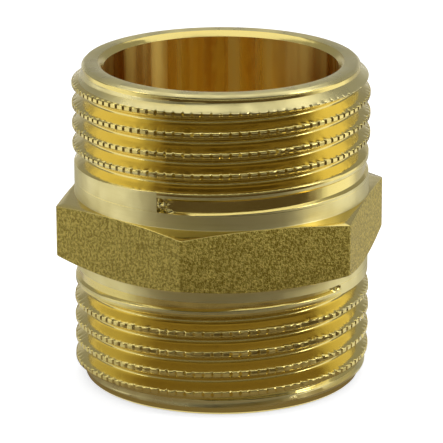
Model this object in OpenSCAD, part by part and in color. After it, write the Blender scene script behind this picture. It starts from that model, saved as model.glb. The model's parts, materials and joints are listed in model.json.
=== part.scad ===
// Hex nipple, G 1 x G 1, brass.
// One piece: a forged brass blank with a hexagon, bored through and threaded at both ends.
// Frame: origin in the middle of the nipple, +Z along the waterway, spanner flats facing +Y and -Y.

/* [Overall] */
// Length over both ends
total_length = 36.2; // [34:0.1:46]
// Width across the spanner flats
hex_flats = 33.2; // [33.2:0.1:42]
// Height from the middle to the top edge of a flat, at the flat's middle
hex_above = 3.35; // [2:0.05:4]
// Height from the middle to the bottom edge of a flat, at the flat's middle
hex_below = 3.75; // [2:0.05:4.4]
// Slope of the hexagon's upper edge
slope_above = 10; // [5:1:30]
// Slope of the hexagon's lower edge
slope_below = 19; // [5:1:30]

/* [Waterway] */
// Diameter of the bore
bore_diameter = 26.1; // [18:0.1:27.4]
// Width of the bevel where the bore meets each end
bore_bevel = 0.6; // [0.2:0.05:0.9]

/* [Thread] */
// Major diameter of the parallel pipe thread
thread_diameter = 33.249; // [32.9:0.001:33.6]
// Pitch of the thread, 11 turns to the inch
thread_pitch = 2.309; // [1.9:0.001:2.6]
// Radial depth of the thread groove
thread_depth = 1.479; // [1:0.001:1.5]
// Included angle of the thread
thread_angle = 55; // [50:1:57]
// Depth of the last turn, where the groove runs out
runout_depth = 0.5; // [0.3:0.05:0.8]
// Straight pieces that stand for one turn of the groove
turn_segments = 50; // [30:10:60]

/* [Collars] */
// How far the collars and the turn beside them lie inside the thread's outside
collar_setback = 0.17; // [0.05:0.01:0.4]
// Plain height of the upper collar
collar_above = 1.7; // [0.8:0.05:2.2]
// Plain height of the lower collar
collar_below = 1.1; // [0.8:0.05:2.2]

/* [Ends] */
// Radial width of the lead-in slope, from the thread's outside to the end step
lead_width = 1.14; // [0.6:0.02:1.3]
// Height of the lead-in slope
lead_height = 0.86; // [0.5:0.02:1.3]
// Height of the end step below its broken edge
step_height = 0.47; // [0.3:0.01:0.8]
// Width of the broken edge around each end face
end_break = 0.35; // [0.1:0.05:0.5]

/* [Hidden] */
smooth = 128;
half_length = total_length / 2;
thread_radius = thread_diameter / 2;
collar_radius = thread_radius - collar_setback;
bore_radius = bore_diameter / 2;
step_radius = thread_radius - lead_width;
face_radius = step_radius - end_break;
// Distance by which a cutting shape passes the metal that it cuts
overrun = 0.2;

// The upper groove ends left of the corner at -30 degrees, the lower one right of the corner at -30
upper_stop = -131.8;
lower_stop = -53.8;
// Height of the groove's middle where each groove stops
upper_stop_z = hex_above + collar_above + 0.32 * thread_pitch;
lower_stop_z = -hex_below - collar_below + 0.11 * thread_pitch;

// Groove section, measured along the axis: wide at the thread's outside, narrow at the root
half_tan = tan(thread_angle / 2);
crest_land = thread_pitch / 6;
mouth_width = thread_pitch - crest_land;
// The shallow part of a groove is the first 0.35 of a turn from its stop, then it deepens
shallow_turns = 0.35;
deepen_turns = 0.3;

function groove_depth(turns) =
    runout_depth + (thread_depth - runout_depth) * min(1, max(0, (turns - shallow_turns) / deepen_turns));

// One section of the groove: four corners, from the root's edges to the edges outside the metal
function groove_section(angle, height, depth) = [
    for (corner = [[-1, -depth], [1, -depth], [1, overrun], [-1, overrun]])
        let (radius = thread_radius + corner[1])
        let (half_width = mouth_width / 2 + corner[1] * half_tan)
        [radius * cos(angle), radius * sin(angle), height + corner[0] * half_width]
];

// Cutter for one helical groove, right-hand, that climbs from its stop by the collar past the end
module helical_groove(stop_angle, stop_height, reach) {
    turns = (reach - stop_height) / thread_pitch;
    steps = ceil(turns * turn_segments);
    points = [
        for (i = [0 : steps])
            let (done = i / turn_segments)
            each groove_section(stop_angle + 360 * done, stop_height + thread_pitch * done, groove_depth(done))
    ];
    sides = [
        for (i = [0 : steps - 1], c = [0 : 3])
            [4 * i + c, 4 * i + 4 + c, 4 * i + 4 + (c + 1) % 4, 4 * i + (c + 1) % 4]
    ];
    stop_face = [0, 1, 2, 3];
    far_face = [for (c = [3 : -1 : 0]) 4 * steps + c];
    polyhedron(points = points, faces = concat([stop_face], sides, [far_face]), convexity = 12);
}

// Half of the threaded blank, from the middle to the upper end, with its lead-in, step and broken edge
module threaded_blank(collar_end) {
    rotate_extrude($fn = smooth)
        polygon([
            [0, 0],
            [collar_radius, 0],
            [collar_radius, collar_end],
            [thread_radius, collar_end],
            [thread_radius, half_length - end_break - step_height - lead_height],
            [step_radius, half_length - end_break - step_height],
            [step_radius, half_length - end_break],
            [face_radius, half_length],
            [0, half_length]
        ]);
}

// The hexagon between its collars, trimmed above and below by shallow cones
module hexagon() {
    corner_radius = hex_flats / 2 / cos(30);
    cone_reach = corner_radius + overrun;
    drop_above = (cone_reach - collar_radius) * tan(slope_above);
    drop_below = (cone_reach - collar_radius) * tan(slope_below);
    intersection() {
        translate([0, 0, -hex_below])
            cylinder(r = corner_radius, h = hex_below + hex_above, $fn = 6);
        rotate_extrude($fn = smooth)
            polygon([
                [0, -hex_below],
                [collar_radius, -hex_below],
                [cone_reach, -hex_below + drop_below],
                [cone_reach, hex_above - drop_above],
                [collar_radius, hex_above],
                [0, hex_above]
            ]);
    }
}

// Plain collars that close the grooves off beside the hexagon
module collars() {
    translate([0, 0, -hex_below - collar_below])
        cylinder(r = collar_radius, h = hex_below + collar_below + hex_above + collar_above, $fn = smooth);
}

module bore() {
    translate([0, 0, -half_length - overrun])
        cylinder(r = bore_radius, h = total_length + 2 * overrun, $fn = smooth);
    for (end = [0, 1])
        mirror([0, 0, end])
            translate([0, 0, half_length - bore_bevel])
                cylinder(r1 = bore_radius, r2 = bore_radius + bore_bevel, h = bore_bevel, $fn = smooth);
}

module nipple_body() {
    upper_plain = upper_stop_z + 1.07 * thread_pitch;
    lower_plain = -lower_stop_z + 1.07 * thread_pitch;
    color("goldenrod")
        difference() {
            union() {
                difference() {
                    threaded_blank(upper_plain);
                    helical_groove(upper_stop, upper_stop_z, half_length + thread_pitch);
                }
                rotate([180, 0, 0])
                    difference() {
                        threaded_blank(lower_plain);
                        helical_groove(-lower_stop, -lower_stop_z, half_length + thread_pitch);
                    }
                collars();
                hexagon();
            }
            bore();
        }
}

nipple_body();
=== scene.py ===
import json
import math
import bmesh
import bpy
import numpy as np
from mathutils import Matrix, Vector


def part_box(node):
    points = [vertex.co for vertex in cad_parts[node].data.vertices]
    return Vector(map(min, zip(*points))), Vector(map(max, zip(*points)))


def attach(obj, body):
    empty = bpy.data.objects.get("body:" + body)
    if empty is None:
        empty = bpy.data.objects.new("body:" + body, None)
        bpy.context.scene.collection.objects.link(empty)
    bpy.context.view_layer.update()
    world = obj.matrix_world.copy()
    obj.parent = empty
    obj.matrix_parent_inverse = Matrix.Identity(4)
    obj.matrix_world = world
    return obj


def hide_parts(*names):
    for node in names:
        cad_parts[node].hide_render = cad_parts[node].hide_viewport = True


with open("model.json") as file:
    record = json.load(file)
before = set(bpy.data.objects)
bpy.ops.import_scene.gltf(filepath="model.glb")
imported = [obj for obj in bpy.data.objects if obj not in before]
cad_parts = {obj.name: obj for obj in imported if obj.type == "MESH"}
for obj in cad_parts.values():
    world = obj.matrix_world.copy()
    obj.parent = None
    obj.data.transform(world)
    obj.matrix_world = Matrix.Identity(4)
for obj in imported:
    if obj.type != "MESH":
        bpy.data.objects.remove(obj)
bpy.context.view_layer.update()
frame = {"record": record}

mm = 0.001


def toLinear(hexColour):
    channels = [int(hexColour[i:i + 2], 16) / 255 for i in (1, 3, 5)]
    return tuple(c / 12.92 if c <= 0.04045 else ((c + 0.055) / 1.055) ** 2.4 for c in channels) + (1.0,)


def addNode(tree, kind, inputs=None, **settings):
    node = tree.nodes.new(kind)
    for name, value in settings.items():
        setattr(node, name, value)
    for key, value in (inputs or {}).items():
        if isinstance(value, bpy.types.Node):
            value = value.outputs[0]
        if isinstance(value, bpy.types.NodeSocket):
            tree.links.new(value, node.inputs[key])
        else:
            node.inputs[key].default_value = value
    return node


brass = {  # lengths in millimetres, roughness from the smoothest to the dullest patch
    # cut by the threading tool: the brightest, and a clear mirror; its deeper, more orange colour is painted
    # shade for the extra bounces between the groove's flanks
    "threadedBrassPaintedShade": {"colour": "#EDD985", "roughness": (0.14, 0.2), "drawn": 0.0,
                      "lineDepth": 0.003, "patchTall": 1.0},
    # bored: bright and dull bands that run the whole length; its deeper orange colour is painted shade for
    # the light lost down the bore
    "boredBrassPaintedShade": {"colour": "#E0C268", "roughness": (0.17, 0.5), "drawn": 0.85,
                   "lineDepth": 0.002, "patchTall": 0.0},
    # faced ends and chamfers: pale, with soft highlights
    "turnedBrass": {"colour": "#F0E3A2", "roughness": (0.27, 0.42), "drawn": 0.8,
                    "lineDepth": 0.012, "patchTall": 1.0},
    # the collars, turned more coarsely: pale and nearly satin
    "collarBrass": {"colour": "#F0E3A2", "roughness": (0.4, 0.56), "drawn": 0.8,
                    "lineDepth": 0.02, "patchTall": 1.0},
    "feedLine": 0.22,      # tool feed per turn of the lathe, drawn coarse enough to show
    "feedDrift": 0.012,    # how far the feed lines wander around the nipple, as a share
    "chatter": 2.5,        # slow waviness of the cut
    "chatterDepth": 0.05,
    "patchesPerMetre": 350.0,
    "patchShift": 27.0,    # picks the slice of noise that gives the bore's bands
    "patchRange": (0.38, 0.66),
    "forgedLight": "#E4CF6C",
    "forgedDark": "#A38E3A",
    "forgedRoughness": 0.42,
    "forgedTones": (0.41, 0.59),
    "grit": 0.3,           # shot-blast grain
    "gritDepth": 0.4,
}


def newMaterial(name):
    material = bpy.data.materials.new(name)
    material.use_nodes = True
    tree = material.node_tree
    tree.nodes.clear()
    shader = addNode(tree, "ShaderNodeBsdfPrincipled")
    addNode(tree, "ShaderNodeOutputMaterial", {"Surface": shader})
    return material, tree, shader


def turnedBrass(name):
    # CuZn brass turned on a lathe: a bright mirror drawn out along the axis by rings of feed lines
    finish = brass[name]
    material, tree, shader = newMaterial(name)
    place = addNode(tree, "ShaderNodeTexCoord").outputs["Object"]
    flat = addNode(tree, "ShaderNodeVectorMath", {0: place, 1: (1, 1, 0)}, operation="MULTIPLY")
    radius = addNode(tree, "ShaderNodeVectorMath", {0: flat}, operation="LENGTH").outputs["Value"]
    parts = addNode(tree, "ShaderNodeSeparateXYZ", {0: place})
    profile = addNode(tree, "ShaderNodeCombineXYZ", {0: radius, 2: parts.outputs[2]})
    drift = addNode(tree, "ShaderNodeVectorMath", {0: place, 1: (brass["feedDrift"], brass["feedDrift"], 0)},
                    operation="MULTIPLY")
    ringPlace = addNode(tree, "ShaderNodeVectorMath", {0: profile, 1: drift}, operation="ADD")
    rings = addNode(tree, "ShaderNodeTexNoise", {
        "Vector": ringPlace, "Scale": 1 / (brass["feedLine"] * mm), "Detail": 2.0, "Roughness": 0.6})
    waves = addNode(tree, "ShaderNodeTexNoise", {
        "Vector": place, "Scale": 1 / (brass["chatter"] * mm), "Detail": 1.0})
    waveBump = addNode(tree, "ShaderNodeBump", {
        "Height": waves, "Strength": 1.0, "Distance": brass["chatterDepth"] * mm})
    bump = addNode(tree, "ShaderNodeBump", {
        "Height": rings, "Strength": 1.0, "Distance": finish["lineDepth"] * mm, "Normal": waveBump})
    shift = (0, 0, brass["patchShift"] * mm)
    patches = addNode(tree, "ShaderNodeVectorMath", {0: place, 1: (1, 1, finish["patchTall"]), 2: shift},
                      operation="MULTIPLY_ADD")
    smears = addNode(tree, "ShaderNodeTexNoise", {
        "Vector": patches, "Scale": brass["patchesPerMetre"], "Detail": 2.0})
    low, high = brass["patchRange"]
    smoothest, dullest = finish["roughness"]
    sheen = addNode(tree, "ShaderNodeMapRange", {
        "Value": smears, "From Min": low, "From Max": high, "To Min": smoothest, "To Max": dullest})
    # the threaded and bored copies get a deeper, more orange base colour than the faces: painted shade for
    # light lost in the grooves and down the bore
    shader.inputs["Base Color"].default_value = toLinear(finish["colour"])
    shader.inputs["Metallic"].default_value = 1.0
    shader.inputs["Anisotropic"].default_value = finish["drawn"]
    shader.inputs["Anisotropic Rotation"].default_value = 0.25
    tree.links.new(sheen.outputs[0], shader.inputs["Roughness"])
    tree.links.new(bump.outputs[0], shader.inputs["Normal"])
    return material


def forgedBrass(name):
    # hot-forged and shot-blasted brass: matt, with a fine grain of shallow dents
    material, tree, shader = newMaterial(name)
    place = addNode(tree, "ShaderNodeTexCoord").outputs["Object"]
    grain = addNode(tree, "ShaderNodeTexNoise", {
        "Vector": place, "Scale": 1 / (brass["grit"] * mm), "Detail": 3.0, "Roughness": 0.75})
    bump = addNode(tree, "ShaderNodeBump", {
        "Height": grain, "Strength": 1.0, "Distance": brass["gritDepth"] * mm})
    low, high = brass["forgedTones"]
    tone = addNode(tree, "ShaderNodeMapRange", {
        "Value": grain, "From Min": low, "From Max": high, "To Min": 0.0, "To Max": 1.0})
    colour = addNode(tree, "ShaderNodeValToRGB", {"Fac": tone})
    colour.color_ramp.elements[0].color = toLinear(brass["forgedDark"])
    colour.color_ramp.elements[1].color = toLinear(brass["forgedLight"])
    tree.links.new(colour.outputs[0], shader.inputs["Base Color"])
    shader.inputs["Metallic"].default_value = 1.0
    shader.inputs["Roughness"].default_value = brass["forgedRoughness"]
    tree.links.new(bump.outputs[0], shader.inputs["Normal"])
    return material


threaded = turnedBrass("threadedBrassPaintedShade")
bored = turnedBrass("boredBrassPaintedShade")
forged = forgedBrass("forgedBrass")
turned = turnedBrass("turnedBrass")
collared = turnedBrass("collarBrass")
finishes = [threaded, bored, forged, turned, collared]
threadFinishAndShade, boreFinishAndShade, forgedFinish, turnedFinish, collarFinish = range(5)  # their places in that list
print("finishes made")


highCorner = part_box("nipple_body")[1]
mounts = {mount["name"]: mount for mount in frame["record"]["mounts"]}

nipple = {  # millimetres and degrees; the overall sizes come from the frame
    "halfLength": highCorner[2] / mm,
    "halfFlats": highCorner[0] / mm * math.cos(math.pi / 6),
    "boreRadius": mounts["waterway"]["dims"]["r_mm"],
    "boreBevel": 0.6,
    "threadRadius": highCorner[1] / mm,
    "collarRadius": highCorner[1] / mm - 0.17,
    "hexAbove": 3.35,      # middle of a flat, up to its top edge
    "hexBelow": 3.75,
    "slopeAbove": 10.0,    # the turned chamfer over the corners
    "slopeBelow": 19.0,
    "cornerRound": 0.5,
    "collarAbove": 1.7,
    "collarBelow": 1.1,
    "leadWidth": 1.14,
    "leadHeight": 0.86,
    "stepHeight": 0.47,
    "endBreak": 0.35,
    "sharpEdge": 38,       # edges that turn more than this stay crisp
}

thread = {  # parallel pipe thread, 11 turns to the inch, right-hand
    "pitch": 2.309,
    "depth": 1.479,
    "halfAngle": 27.5,
    "crestLand": 0.45,
    "rootRound": 0.3,
    "crestRound": 0.2,
    "runoutDepth": 0.5,
    "shallowTurns": 0.35,
    "deepenTurns": 0.3,
    "burrTurns": 0.016,    # swarf left where each groove begins
    "burrGrain": 0.55,
    "burrFull": 0.008,     # turns over which it is at its highest
    "burrLumps": (0.4, 0.62),
    "plainTurns": 1.07,    # the first turn from the collar has a plain crest
    "notches": 101,        # knurled grip marks around one turn of the crest
    "notchShare": 0.36,
    "beadShare": 0.5,      # wider marks on the lower thread
    "notchDepth": 0.25,
    "shallowest": 0.65,    # how uneven the marks are
    "deepest": 1.25,
    "upperStop": -131.8,
    "lowerStop": -53.8,
    "upperStart": 0.32,    # pitches from the collar's edge to the middle of the first groove
    "lowerStart": 0.11,
    "endClear": 2.2,       # the grooves get shallower this close to each end
    "endFade": 0.5,
    "knurlFade": 0.4,
    "landMargin": 0.12,    # metal cut less than this still counts as the plain land
    "seed": 7,
}

upperStopHeight = nipple["hexAbove"] + nipple["collarAbove"] + thread["upperStart"] * thread["pitch"]
lowerStopHeight = -nipple["hexBelow"] - nipple["collarBelow"] + thread["lowerStart"] * thread["pitch"]


def columnAngles():
    step = 1 / thread["notches"]
    half = step * thread["notchShare"] / 2
    turns = [i * step + side * half for i in range(thread["notches"]) for side in (-1, 0, 1)]
    besideCorner = (-1.5, -0.8, -0.35, 0, 0.35, 0.8, 1.5)  # degrees, closer columns where the shape turns
    besideStop = (-0.6, -0.1, 0.1, 0.6, 1.1, 1.6, 2.1, 2.7, 3.3, 3.9, 4.5, 5.1, 5.8)
    closest = 0.08
    extras = [corner / 6 + d / 360 for corner in range(6) for d in besideCorner]
    for stop, way in ((thread["upperStop"], 1), (thread["lowerStop"], -1)):
        extras += [(stop + way * d) / 360 for d in besideStop]
    turns = [t % 1.0 for t in turns]
    for extra in extras:
        if min(abs((extra - t + 0.5) % 1.0 - 0.5) for t in turns) > closest / 360:
            turns.append(extra % 1.0)
    turns.sort()
    return np.array(turns + [turns[0] + 1.0]) * 2 * math.pi


def hexRadius(angle):
    flats, rounding = nipple["halfFlats"], nipple["cornerRound"]
    fromCorner = np.abs((angle + math.pi / 6) % (math.pi / 3) - math.pi / 6)
    centre = (flats - rounding) / math.cos(math.pi / 6)
    tangent = math.pi / 6 - math.atan((flats - rounding) * math.tan(math.pi / 6) / flats)
    onFlat = flats / np.cos(math.pi / 6 - fromCorner)
    inside = np.sqrt(np.maximum(rounding ** 2 - (centre * np.sin(fromCorner)) ** 2, 0))
    return np.where(fromCorner < tangent, centre * np.cos(fromCorner) + inside, onFlat)


def outsideRadius(height, plainEnd):
    # the collar's radius on the first turn, the full one past it, then the slope of the lead
    n = nipple
    leadStart = n["halfLength"] - n["endBreak"] - n["stepHeight"] - n["leadHeight"]
    heights = [0, plainEnd - 0.2, plainEnd + 0.1, leadStart, leadStart + n["leadHeight"]]
    radii = [n["collarRadius"]] * 2 + [n["threadRadius"]] * 2 + [n["threadRadius"] - n["leadWidth"]]
    return np.interp(np.abs(height), heights, radii)


def threadKnots():
    # heights of the rows in one turn, measured from the bottom of the groove
    fromRoot = [0.12, 0.22, 0.34, 0.6, 0.82, 0.88, 0.935, 1.0]
    return sorted([0.0, thread["pitch"] / 2] + fromRoot + [-k for k in fromRoot], reverse=True)


def threadRows(angles, low, high, stopAngle, stopHeight):
    pitch = thread["pitch"]
    base = stopHeight + pitch * (angles / (2 * math.pi) - stopAngle / 360)
    rows = [np.full_like(angles, high)]
    mostTurns = 14
    for turn in range(mostTurns, -mostTurns - 1, -1):
        for knot in threadKnots():
            row = np.clip(base + turn * pitch + knot, low, high)
            if row.max() > low and row.min() < high:
                rows.append(row)
    return rows + [np.full_like(angles, low)]


def blankRings(angles):
    # hundredths of a millimetre here are the small breaks beside an edge
    n = nipple
    rings = []  # radius, height, which thread cuts it, finish of the strip that follows

    def ring(radius, height, cut=0, finish=threadFinishAndShade):
        ones = np.ones_like(angles)
        rings.append((radius * ones, height * ones, cut, finish))

    top = n["halfLength"]
    bore, bevel = n["boreRadius"], n["boreBevel"]
    collar = n["collarRadius"]
    stepRadius = n["threadRadius"] - n["leadWidth"]
    faceRadius = stepRadius - n["endBreak"]
    stepTop = top - n["endBreak"]
    stepBottom = stepTop - n["stepHeight"]
    leadStart = stepBottom - n["leadHeight"]
    hexTop = n["hexAbove"] + n["collarAbove"]
    hexBottom = -n["hexBelow"] - n["collarBelow"]
    edge = 0.04
    endProfile = [
        (bore + bevel * 0.5, top - bevel * 0.42, threadFinishAndShade),
        (bore + bevel - 0.05, top - edge, threadFinishAndShade),
        (bore + bevel + 0.05, top, turnedFinish),
        ((bore + faceRadius) / 2 + 0.3, top, turnedFinish),
        (faceRadius - 0.05, top, turnedFinish),
        (faceRadius + 0.06, top - edge, turnedFinish),
        (stepRadius - edge, stepTop + 0.06, threadFinishAndShade),
    ]
    for share in (0.0, 0.5, 0.95):
        endProfile.append((stepRadius, stepTop - n["stepHeight"] * share - 0.02, threadFinishAndShade))

    boreHeights = np.linspace(-(top - bevel), top - bevel, 3)
    for height, finish in zip(boreHeights, (boreFinishAndShade, boreFinishAndShade, threadFinishAndShade)):
        ring(bore, height, 0, finish)
    for radius, height, finish in endProfile:
        ring(radius, height, 0, finish)
    plainRun = thread["plainTurns"] * thread["pitch"]
    upperPlain = upperStopHeight + plainRun
    lowerPlain = -lowerStopHeight + plainRun
    upper = (thread["upperStop"], upperStopHeight)
    lower = (thread["lowerStop"], lowerStopHeight)
    for row in threadRows(angles, leadStart, stepBottom, *upper):
        ring(outsideRadius(row, upperPlain), row, 1, turnedFinish)
    for row in threadRows(angles, hexTop, leadStart, *upper)[1:]:
        ring(outsideRadius(row, upperPlain), row, 1)
    for height in [hexTop - edge] + list(np.linspace(hexTop - 0.3, n["hexAbove"] + 0.1, 3)):
        ring(collar, height, 0, collarFinish)
    ring(collar + 0.02, n["hexAbove"] + 0.03, 0, collarFinish)
    hexOut = hexRadius(angles)
    coneStart = collar + 0.05
    coneEnd = hexOut - 0.07

    def coneHeight(radius, flatHeight, slope):
        return flatHeight - (radius - collar) * math.tan(math.radians(slope))

    for share in (0.0, 0.5, 1.0):
        radius = coneStart + (coneEnd - coneStart) * share
        ring(radius, coneHeight(radius, n["hexAbove"], n["slopeAbove"]))
    topCorner = coneHeight(hexOut, n["hexAbove"], n["slopeAbove"])
    bottomCorner = -coneHeight(hexOut, n["hexBelow"], n["slopeBelow"])
    ring(hexOut - 0.025, topCorner - 0.03, 0, forgedFinish)
    topEdge = topCorner - 0.1
    bottomEdge = bottomCorner + 0.1
    for share in (0.0, 0.3, 0.6, 1.0):
        ring(hexOut, topEdge + (bottomEdge - topEdge) * share, 0, forgedFinish)
    ring(hexOut - 0.025, bottomCorner + 0.03, 0, turnedFinish)
    for share in (1.0, 0.5, 0.0):
        radius = coneStart + (coneEnd - coneStart) * share
        ring(radius, -coneHeight(radius, n["hexBelow"], n["slopeBelow"]), 0, turnedFinish)
    ring(collar + 0.02, -n["hexBelow"] - 0.03, 0, collarFinish)
    for height in np.linspace(-n["hexBelow"] - 0.1, hexBottom + 0.2, 3):
        ring(collar, height, 0, collarFinish)
    ring(collar, hexBottom + edge)
    for row in threadRows(angles, -leadStart, hexBottom, *lower):
        ring(outsideRadius(row, lowerPlain), row, -1)
    for row in threadRows(angles, -stepBottom, -leadStart, *lower)[1:]:
        ring(outsideRadius(row, lowerPlain), row, -1, turnedFinish)
    for radius, height, _ in reversed(endProfile):
        ring(radius, -height)
    return rings


def buildBlank():
    # one closed skin, whose rows follow the thread so that the groove's edges stay clean
    angles = columnAngles()
    rings = blankRings(angles)
    columns, rows = len(angles), len(rings)
    radius = np.array([r[0] for r in rings])
    height = np.array([r[1] for r in rings])
    points = np.stack([radius * np.cos(angles), radius * np.sin(angles), height], axis=-1) * mm
    cuts = np.repeat([r[2] for r in rings], columns)
    i, j = np.meshgrid(np.arange(rows), np.arange(columns - 1), indexing="ij")
    here = i * columns + j
    below = (i + 1) % rows * columns + j
    quads = np.stack([here, here + 1, below + 1, below], -1)
    mesh = bpy.data.meshes.new("nippleShell")
    mesh.from_pydata(points.reshape(-1, 3).tolist(), [], quads.reshape(-1, 4).tolist())
    cutSide = mesh.attributes.new("cutSide", "FLOAT", "POINT")
    cutSide.data.foreach_set("value", cuts.astype(np.float32))
    finish = mesh.attributes.new("finish", "INT", "FACE")
    finish.data.foreach_set("value", np.repeat([r[3] for r in rings], columns - 1).astype(np.int32))
    mergeWithin = 0.009 * mm  # rows that were clipped to the same height become one
    shortest = 0.0005 * mm
    shape = bmesh.new()
    shape.from_mesh(mesh)
    bmesh.ops.remove_doubles(shape, verts=shape.verts, dist=mergeWithin)
    bmesh.ops.dissolve_degenerate(shape, edges=shape.edges, dist=shortest)
    bmesh.ops.recalc_face_normals(shape, faces=shape.faces)
    loose = [v for v in shape.verts if not v.link_faces]
    bmesh.ops.delete(shape, geom=loose, context="VERTS")
    shape.to_mesh(mesh)
    shape.free()
    blank = bpy.data.objects.new("nippleShell", mesh)
    bpy.context.scene.collection.objects.link(blank)
    print("blank made:", len(mesh.polygons), "faces")
    return blank


def threadCutTree():
    tree = bpy.data.node_groups.new("threadCut", "GeometryNodeTree")
    tree.interface.new_socket("Geometry", in_out="INPUT", socket_type="NodeSocketGeometry")
    for name in ("side", "pitch", "radius", "depth", "runoutDepth", "mouthHalf", "slopeTan", "rootRound",
                 "crestRound", "stopTurn", "stopHeight", "shallowTurns", "deepenTurns", "plainHeight",
                 "endHeight", "endDepth", "burrTurns", "notches", "notchShare", "notchDepth"):
        tree.interface.new_socket(name, in_out="INPUT", socket_type="NodeSocketFloat")
    tree.interface.new_socket("Geometry", in_out="OUTPUT", socket_type="NodeSocketGeometry")
    given = addNode(tree, "NodeGroupInput").outputs
    place = addNode(tree, "ShaderNodeSeparateXYZ", {0: addNode(tree, "GeometryNodeInputPosition")}).outputs
    mathNode = "ShaderNodeMath"
    # turns along the helix from the groove's start, and the height away from its middle
    angle = addNode(tree, mathNode, {0: place[1], 1: place[0]}, operation="ARCTAN2")
    turn = addNode(tree, mathNode, {0: angle, 1: 2 * math.pi}, operation="DIVIDE")
    fromStop = addNode(tree, mathNode, {0: turn, 1: given["stopTurn"]}, operation="SUBTRACT")
    onward = addNode(tree, mathNode, {0: fromStop, 1: given["side"]}, operation="MULTIPLY")
    along = addNode(tree, mathNode, {0: onward}, operation="FRACT")
    lift = addNode(tree, mathNode, {0: place[2], 1: given["stopHeight"]}, operation="SUBTRACT")
    rise = addNode(tree, mathNode, {0: lift, 1: given["side"]}, operation="MULTIPLY")
    climb = addNode(tree, mathNode, {0: rise, 1: given["pitch"]}, operation="DIVIDE")
    raw = addNode(tree, mathNode, {0: climb, 1: along}, operation="SUBTRACT")
    whole = addNode(tree, mathNode, {0: raw}, operation="ROUND")
    turns = addNode(tree, mathNode, {0: along, 1: whole}, operation="ADD")
    apart = addNode(tree, mathNode, {0: raw, 1: whole}, operation="SUBTRACT")
    away = addNode(tree, mathNode, {0: apart}, operation="ABSOLUTE")
    offset = addNode(tree, mathNode, {0: away, 1: given["pitch"]}, operation="MULTIPLY")
    # depth of the groove at this turn: shallow at first, and less again beside the end step
    deepStart = given["shallowTurns"]
    deepEnd = addNode(tree, mathNode, {0: deepStart, 1: given["deepenTurns"]}, operation="ADD")
    depthNow = addNode(tree, "ShaderNodeMapRange", {
        "Value": turns, "From Min": deepStart, "From Max": deepEnd,
        "To Min": given["runoutDepth"], "To Max": given["depth"]})
    outward = addNode(tree, mathNode, {0: place[2]}, operation="ABSOLUTE")
    endFull = addNode(tree, mathNode, {0: given["endHeight"], 1: thread["endFade"] * mm}, operation="ADD")
    endLimit = addNode(tree, "ShaderNodeMapRange", {
        "Value": outward, "From Min": given["endHeight"], "From Max": endFull,
        "To Min": given["depth"], "To Max": given["endDepth"]})
    depthNow = addNode(tree, mathNode, {0: depthNow, 1: endLimit}, operation="MINIMUM")
    # lumps of swarf at the very start
    swarf = addNode(tree, "ShaderNodeTexNoise", {
        "Scale": 1 / (thread["burrGrain"] * mm), "Detail": 2.0, "Roughness": 0.7})
    low, high = thread["burrLumps"]
    lumps = addNode(tree, "ShaderNodeMapRange", {"Value": swarf, "From Min": low, "From Max": high})
    burrFade = addNode(tree, "ShaderNodeMapRange", {
        "Value": turns, "From Min": thread["burrFull"], "From Max": given["burrTurns"],
        "To Min": 1.0, "To Max": 0.0})
    burr = addNode(tree, mathNode, {0: lumps, 1: burrFade}, operation="MULTIPLY")
    clear = addNode(tree, mathNode, {0: 1.0, 1: burr}, operation="SUBTRACT")
    depthNow = addNode(tree, mathNode, {0: depthNow, 1: clear}, operation="MULTIPLY")
    # the flanks with their rounded root and crest, and solid metal before the start
    openHalf = addNode(tree, mathNode, {0: given["mouthHalf"], 1: offset}, operation="SUBTRACT")
    flank = addNode(tree, mathNode, {0: openHalf, 1: given["slopeTan"]}, operation="DIVIDE")
    valley = addNode(tree, mathNode, {0: depthNow, 1: flank, 2: given["rootRound"]}, operation="SMOOTH_MIN")
    started = addNode(tree, mathNode, {0: turns, 1: 0.0}, operation="GREATER_THAN")
    missing = addNode(tree, mathNode, {0: 1.0, 1: started}, operation="SUBTRACT")
    wellOutside = 5 * mm
    kept = addNode(tree, mathNode, {0: missing, 1: wellOutside}, operation="MULTIPLY")
    valleyRadius = addNode(tree, mathNode, {0: given["radius"], 1: valley}, operation="SUBTRACT")
    grooveRadius = addNode(tree, mathNode, {0: valleyRadius, 1: kept}, operation="ADD")
    flat = addNode(tree, "ShaderNodeCombineXYZ", {0: place[0], 1: place[1]})
    blankRadius = addNode(tree, "ShaderNodeVectorMath", {0: flat}, operation="LENGTH").outputs["Value"]
    cutRadius = addNode(tree, mathNode, {0: blankRadius, 1: grooveRadius, 2: given["crestRound"]},
                        operation="SMOOTH_MIN")
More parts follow.
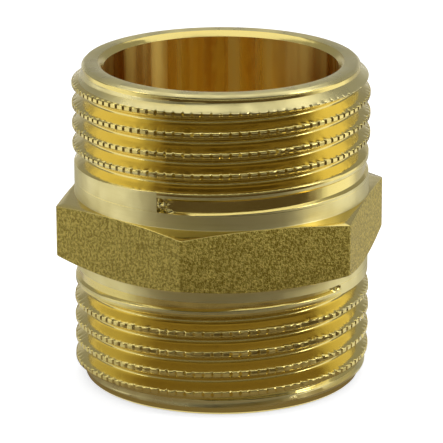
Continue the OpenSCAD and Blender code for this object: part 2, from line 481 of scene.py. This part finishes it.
    # knurled notches, only past the first plain turn
    notchTurn = addNode(tree, mathNode, {0: turn, 1: given["notches"]}, operation="MULTIPLY")
    notchNumber = addNode(tree, mathNode, {0: notchTurn}, operation="ROUND")
    notchOff = addNode(tree, mathNode, {0: notchTurn, 1: notchNumber}, operation="SUBTRACT")
    notchAway = addNode(tree, mathNode, {0: notchOff}, operation="ABSOLUTE")
    halfShare = addNode(tree, mathNode, {0: given["notchShare"], 1: 0.5}, operation="MULTIPLY")
    inNotch = addNode(tree, "ShaderNodeMapRange", {
        "Value": notchAway, "From Min": 0.0, "From Max": halfShare, "To Min": 1.0, "To Max": 0.0})
    rowEnd = addNode(tree, mathNode, {0: given["plainHeight"], 1: thread["knurlFade"] * mm}, operation="ADD")
    knurled = addNode(tree, "ShaderNodeMapRange", {
        "Value": outward, "From Min": given["plainHeight"], "From Max": rowEnd})
    seedNumber = addNode(tree, mathNode, {0: whole, 1: 131.0, 2: notchNumber}, operation="MULTIPLY_ADD")
    uneven = addNode(tree, "FunctionNodeRandomValue", {
        "ID": seedNumber, "Seed": thread["seed"], 2: thread["shallowest"], 3: thread["deepest"]},
        data_type="FLOAT")
    marks = addNode(tree, mathNode, {0: inNotch, 1: knurled}, operation="MULTIPLY")
    marks = addNode(tree, mathNode, {0: marks, 1: uneven.outputs[1]}, operation="MULTIPLY")
    marks = addNode(tree, mathNode, {0: marks, 1: given["notchDepth"]}, operation="MULTIPLY")
    notchFloor = addNode(tree, mathNode, {0: given["radius"], 1: marks}, operation="SUBTRACT")
    newRadius = addNode(tree, mathNode, {0: cutRadius, 1: notchFloor}, operation="MINIMUM")
    share = addNode(tree, mathNode, {0: newRadius, 1: blankRadius}, operation="DIVIDE")
    movedX = addNode(tree, mathNode, {0: place[0], 1: share}, operation="MULTIPLY")
    movedY = addNode(tree, mathNode, {0: place[1], 1: share}, operation="MULTIPLY")
    moved = addNode(tree, "ShaderNodeCombineXYZ", {0: movedX, 1: movedY, 2: place[2]})
    cutSide = addNode(tree, "GeometryNodeInputNamedAttribute", {"Name": "cutSide"}, data_type="FLOAT")
    mine = addNode(tree, mathNode, {0: cutSide, 1: given["side"], 2: 0.1}, operation="COMPARE")
    shaped = addNode(tree, "GeometryNodeSetPosition", {
        "Geometry": given["Geometry"], "Selection": mine, "Position": moved})
    # finishes by number, then the collar's on the plain land that the first turn leaves
    finish = addNode(tree, "GeometryNodeInputNamedAttribute", {"Name": "finish"}, data_type="INT")
    towardSide = addNode(tree, mathNode, {0: place[2], 1: given["side"]}, operation="MULTIPLY")
    thisHalf = addNode(tree, mathNode, {0: towardSide, 1: 0.0}, operation="GREATER_THAN")
    for number, material in enumerate(finishes):
        same = addNode(tree, mathNode, {0: finish.outputs[0], 1: float(number), 2: 0.1}, operation="COMPARE")
        chosen = addNode(tree, mathNode, {0: same, 1: thisHalf}, operation="MULTIPLY")
        shaped = addNode(tree, "GeometryNodeSetMaterial", {
            "Geometry": shaped, "Selection": chosen, "Material": material})
    landMargin = thread["landMargin"] * mm
    uncutFrom = addNode(tree, mathNode, {0: given["radius"], 1: landMargin}, operation="SUBTRACT")
    intact = addNode(tree, mathNode, {0: grooveRadius, 1: uncutFrom}, operation="GREATER_THAN")
    nearCollar = addNode(tree, mathNode, {0: raw, 1: 0.5}, operation="LESS_THAN")
    collarLand = addNode(tree, mathNode, {0: intact, 1: nearCollar}, operation="MULTIPLY")
    collarLand = addNode(tree, mathNode, {0: collarLand, 1: mine}, operation="MULTIPLY")
    shaped = addNode(tree, "GeometryNodeSetMaterial", {
        "Geometry": shaped, "Selection": collarLand, "Material": collared})
    realized = addNode(tree, "GeometryNodeRealizeInstances", {"Geometry": shaped})
    addNode(tree, "NodeGroupOutput", {"Geometry": realized})
    return tree


def cutThread(blank, tree, side):
    upper = side > 0
    stop, stopHeight = ((thread["upperStop"], upperStopHeight) if upper
                        else (thread["lowerStop"], lowerStopHeight))
    values = {
        "side": float(side),
        "pitch": thread["pitch"] * mm,
        "radius": nipple["threadRadius"] * mm,
        "depth": thread["depth"] * mm,
        "runoutDepth": thread["runoutDepth"] * mm,
        "mouthHalf": (thread["pitch"] - thread["crestLand"]) / 2 * mm,
        "slopeTan": math.tan(math.radians(thread["halfAngle"])),
        "rootRound": thread["rootRound"] * mm,
        "crestRound": thread["crestRound"] * mm,
        "stopTurn": stop / 360,
        "stopHeight": stopHeight * mm,
        "shallowTurns": thread["shallowTurns"],
        "deepenTurns": thread["deepenTurns"],
        "plainHeight": (abs(stopHeight) + thread["plainTurns"] * thread["pitch"]) * mm,
        "endHeight": (nipple["halfLength"] - thread["endClear"]) * mm,
        "endDepth": (nipple["leadWidth"] - 0.02) * mm,
        "burrTurns": thread["burrTurns"],
        "notches": float(thread["notches"]),
        "notchShare": thread["notchShare"] if upper else thread["beadShare"],
        "notchDepth": thread["notchDepth"] * mm,
    }
    modifier = blank.modifiers.new("thread", "NODES")
    modifier.node_group = tree
    for item in tree.interface.items_tree:
        if item.in_out == "INPUT" and item.name in values:
            modifier[item.identifier] = values[item.name]


def makeNipple():
    blank = buildBlank()
    tree = threadCutTree()
    for side in (1, -1):
        cutThread(blank, tree, side)
    bpy.context.view_layer.update()
    evaluated = blank.evaluated_get(bpy.context.evaluated_depsgraph_get())
    mesh = bpy.data.meshes.new_from_object(evaluated)
    blank.modifiers.clear()
    blank.data = mesh
    mesh.shade_smooth()
    mesh.set_sharp_from_angle(angle=math.radians(nipple["sharpEdge"]))
    for name in ("cutSide", "finish"):
        mesh.attributes.remove(mesh.attributes[name])
    triangles = sum(len(p.vertices) - 2 for p in mesh.polygons)
    print("thread cut:", len(mesh.polygons), "faces,", triangles, "triangles")
    return blank


nippleShell = makeNipple()
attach(nippleShell, "root")
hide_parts("nipple_body")


studio = {  # millimetres and degrees, azimuths around the nipple from the camera's side
    "azimuth": -16.8,
    "lens": 267.2,
    "sensor": 36.0,
    "distance": 353.05,
    "cameraHeight": 109.3,
    "tilt": 17.3,
    "roll": -0.175,
    "nearest": 10,
    "farthest": 50000,
    "paint": "#F4F4F2",
    "floorGlow": 0.7,
    "floorReach": 4000,
    "backdropGlow": 1.0,
    "backdropReach": 1600,
    "roomLight": 0.3,
    "softboxes": [  # name; right, behind and up; aimed behind and up; width, height; brightness
        ("overheadBox", 0, 130, 500, 130, 0, 760, 620, 0.76),
        ("rightBox", 500, 0, 210, 0, 0, 260, 460, 0.7),
        ("leftBox", -500, 0, 210, 0, 0, 260, 460, 0.6),
        ("rightStrip", 470, -135, 280, 0, 15, 90, 330, 4.6),
        ("backBox", 0, 700, 70, 0, 20, 900, 190, 0.2),
        ("leftStrip", -470, -135, 280, 0, 15, 60, 330, 2.0),
    ],
    "flagGlow": 0.03,       # a dark panel above and in front
    "flagRadius": 450,
    "flagHeights": (150, 700),
    "flagAzimuths": (-50, 58),
    "dimColour": "#FFD89A",
    "whiteFrom": 0.5,       # a glow this strong is no longer warm
    "glowLift": 0.3,
    "glowRadii": [13.2, 18.5, 20.5, 26, 27.5, 31.5, 33.5, 43, 45.5, 56, 60, 900],
    "glow": [  # azimuth, then brightness in each ring outward
        (-180, 0.2, 0.38, 0.38, 0.38, 0.38, 0.5),
        (-132, 0.2, 0.38, 0.38, 0.38, 0.38, 0.5),
        (-122, 0.2, 0.6, 0.6, 0.6, 0.7, 0.97),
        (-74, 0.2, 0.6, 0.6, 0.6, 0.7, 0.97),
        (-66, 0.2, 0.5, 0.6, 0.5, 0.6, 0.6),
        (-56, 0.2, 0.4, 0.4, 0.32, 0.36, 0.42),
        (-44, 0.2, 0.22, 0.32, 0.05, 0.26, 0.08),
        (64, 0.2, 0.24, 0.32, 0.05, 0.26, 0.08),
        (75, 0.2, 0.66, 0.6, 0.5, 0.5, 0.4),
        (88, 0.2, 0.85, 0.85, 0.8, 0.9, 1.1),
        (116, 0.2, 0.85, 0.85, 0.85, 0.9, 1.1),
        (124, 0.2, 0.7, 0.7, 0.7, 0.7, 0.6),
        (136, 0.2, 0.4, 0.4, 0.4, 0.4, 0.5),
        (180, 0.2, 0.38, 0.38, 0.38, 0.38, 0.5),
    ],
}


def makeCamera():
    s = studio
    turn = math.radians(s["azimuth"])
    tilt = math.radians(s["tilt"])
    roll = math.radians(s["roll"])
    inward = Vector((-math.sin(turn), math.cos(turn), 0))
    right = Vector((math.cos(turn), math.sin(turn), 0))
    forward = inward * math.cos(tilt) - Vector((0, 0, math.sin(tilt)))
    up = right.cross(forward)
    imageRight = right * math.cos(roll) + up * math.sin(roll)
    imageUp = up * math.cos(roll) - right * math.sin(roll)
    camera = bpy.data.cameras.new("camera")
    camera.sensor_width = s["sensor"]
    camera.lens = s["lens"]
    camera.clip_start = s["nearest"] * mm
    camera.clip_end = s["farthest"] * mm
    holder = bpy.data.objects.new("camera", camera)
    spot = -inward * s["distance"] + Vector((0, 0, s["cameraHeight"]))
    facing = Matrix((imageRight, imageUp, -forward)).transposed().to_4x4()
    holder.matrix_world = Matrix.Translation(spot * mm) @ facing
    bpy.context.scene.collection.objects.link(holder)
    bpy.context.scene.camera = holder


def plainMaterial(name, colour, glow):
    # matt studio paint or cloth that also gives off some light of its own
    material, _, shader = newMaterial(name)
    shader.inputs["Base Color"].default_value = toLinear(colour)
    shader.inputs["Roughness"].default_value = 0.9
    shader.inputs["Specular IOR Level"].default_value = 0.0
    shader.inputs["Emission Color"].default_value = (1, 1, 1, 1)
    shader.inputs["Emission Strength"].default_value = glow
    return material


def stageMesh(name, corners, faces, material):
    mesh = bpy.data.meshes.new(name)
    mesh.from_pydata([(x * mm, y * mm, z * mm) for x, y, z in corners], [], faces)
    mesh.materials.append(material)
    item = bpy.data.objects.new(name, mesh)
    bpy.context.scene.collection.objects.link(item)
    return item


def seenOnlyBy(item, kind):
    item.visible_camera = kind == "camera"
    item.visible_glossy = kind == "glossy"
    item.visible_diffuse = False
    item.visible_shadow = False
    item.visible_transmission = False


def floorReflection(height):
    # what polished metal sees of the room low around the nipple
    radii = studio["glowRadii"]
    knots = np.array(studio["glow"])
    azimuths = np.linspace(-180, 180, 145)
    zones = np.array([np.interp(azimuths, knots[:, 0], knots[:, zone]) for zone in range(1, knots.shape[1])])
    turns = np.radians(studio["azimuth"] + azimuths)
    corners = [(radius * math.sin(t), -radius * math.cos(t), height) for t in turns for radius in radii]
    across = len(radii)
    faces = [(i * across + j, i * across + j + 1, (i + 1) * across + j + 1, (i + 1) * across + j)
             for i in range(len(turns) - 1) for j in range(across - 1)]
    material, tree, shader = newMaterial("reflectedRoom")
    strength = addNode(tree, "ShaderNodeAttribute", attribute_name="glow")
    shader.inputs["Base Color"].default_value = (0, 0, 0, 1)
    shader.inputs["Specular IOR Level"].default_value = 0.0
    warmth = addNode(tree, "ShaderNodeValToRGB", {"Fac": strength.outputs["Fac"]})  # the dim side is warm
    warmth.color_ramp.elements[0].color = toLinear(studio["dimColour"])
    warmth.color_ramp.elements[1].color = (1, 1, 1, 1)
    warmth.color_ramp.elements[1].position = studio["whiteFrom"]
    tree.links.new(warmth.outputs[0], shader.inputs["Emission Color"])
    tree.links.new(strength.outputs["Fac"], shader.inputs["Emission Strength"])
    item = stageMesh("floorReflection", corners, faces, material)
    glow = item.data.attributes.new("glow", "FLOAT", "POINT")
    ringsPerZone = across // len(zones)
    glow.data.foreach_set("value", np.repeat(zones.T, ringsPerZone, axis=1).ravel().astype(np.float32))
    seenOnlyBy(item, "glossy")


def darkFlag():
    s = studio
    turns = np.radians(s["azimuth"] + np.linspace(*s["flagAzimuths"], 13))
    radius = s["flagRadius"]
    corners = [(radius * math.sin(t), -radius * math.cos(t), z) for t in turns for z in s["flagHeights"]]
    faces = [(i, i + 2, i + 3, i + 1) for i in range(0, len(corners) - 2, 2)]
    cloth = plainMaterial("flagCloth", "#000000", s["flagGlow"])
    seenOnlyBy(stageMesh("darkFlag", corners, faces, cloth), "glossy")


def backdrop(reach, floorHeight):
    paint = plainMaterial("backdropPaint", studio["paint"], studio["backdropGlow"])
    turns = np.radians(np.arange(0, 360, 7.5))
    corners = [(reach * math.cos(t), reach * math.sin(t), z) for t in turns for z in (floorHeight, reach)]
    count = len(corners)
    faces = [(i, (i + 2) % count, (i + 3) % count, i + 1) for i in range(0, count, 2)]
    seenOnlyBy(stageMesh("backdrop", corners, faces, paint), "camera")


def makeStage():
    floorHeight = -nipple["halfLength"]
    reach = studio["floorReach"]
    floorPaint = plainMaterial("floorPaint", studio["paint"], studio["floorGlow"])
    sides = ((-1, -1), (1, -1), (1, 1), (-1, 1))
    corners = [(reach * x, reach * y, floorHeight) for x, y in sides]
    stageMesh("floor", corners, [(0, 1, 2, 3)], floorPaint)
    floorReflection(floorHeight + studio["glowLift"])
    backdrop(studio["backdropReach"], floorHeight)
    darkFlag()


def softbox(name, spot, aim, width, height, radiance):
    lamp = bpy.data.lights.new(name, "AREA")
    lamp.shape = "RECTANGLE"
    lamp.size = width * mm
    lamp.size_y = height * mm
    lamp.energy = radiance * math.pi * width * height * mm * mm
    holder = bpy.data.objects.new(name, lamp)
    turnTo = (aim - spot).to_track_quat("-Z", "Y").to_matrix().to_4x4()
    holder.matrix_world = Matrix.Translation(spot * mm) @ turnTo
    bpy.context.scene.collection.objects.link(holder)


def makeLight():
    world = bpy.data.worlds.new("studioRoom")
    bpy.context.scene.world = world
    world.use_nodes = True
    room = world.node_tree.nodes["Background"]
    room.inputs["Color"].default_value = (1, 1, 1, 1)
    room.inputs["Strength"].default_value = studio["roomLight"]
    turn = math.radians(studio["azimuth"])
    rightSide = Vector((math.cos(turn), math.sin(turn), 0))
    behind = Vector((-math.sin(turn), math.cos(turn), 0))
    for name, right, back, up, aimBack, aimUp, width, height, radiance in studio["softboxes"]:
        spot = rightSide * right + behind * back + Vector((0, 0, up))
        aim = behind * aimBack + Vector((0, 0, aimUp))
        softbox(name, spot, aim, width, height, radiance)


makeCamera()
makeStage()
makeLight()
bpy.context.scene.view_settings.view_transform = "Standard"
bpy.context.scene.cycles.glossy_bounces = 12
bpy.context.scene.cycles.caustics_reflective = False
print("studio made")
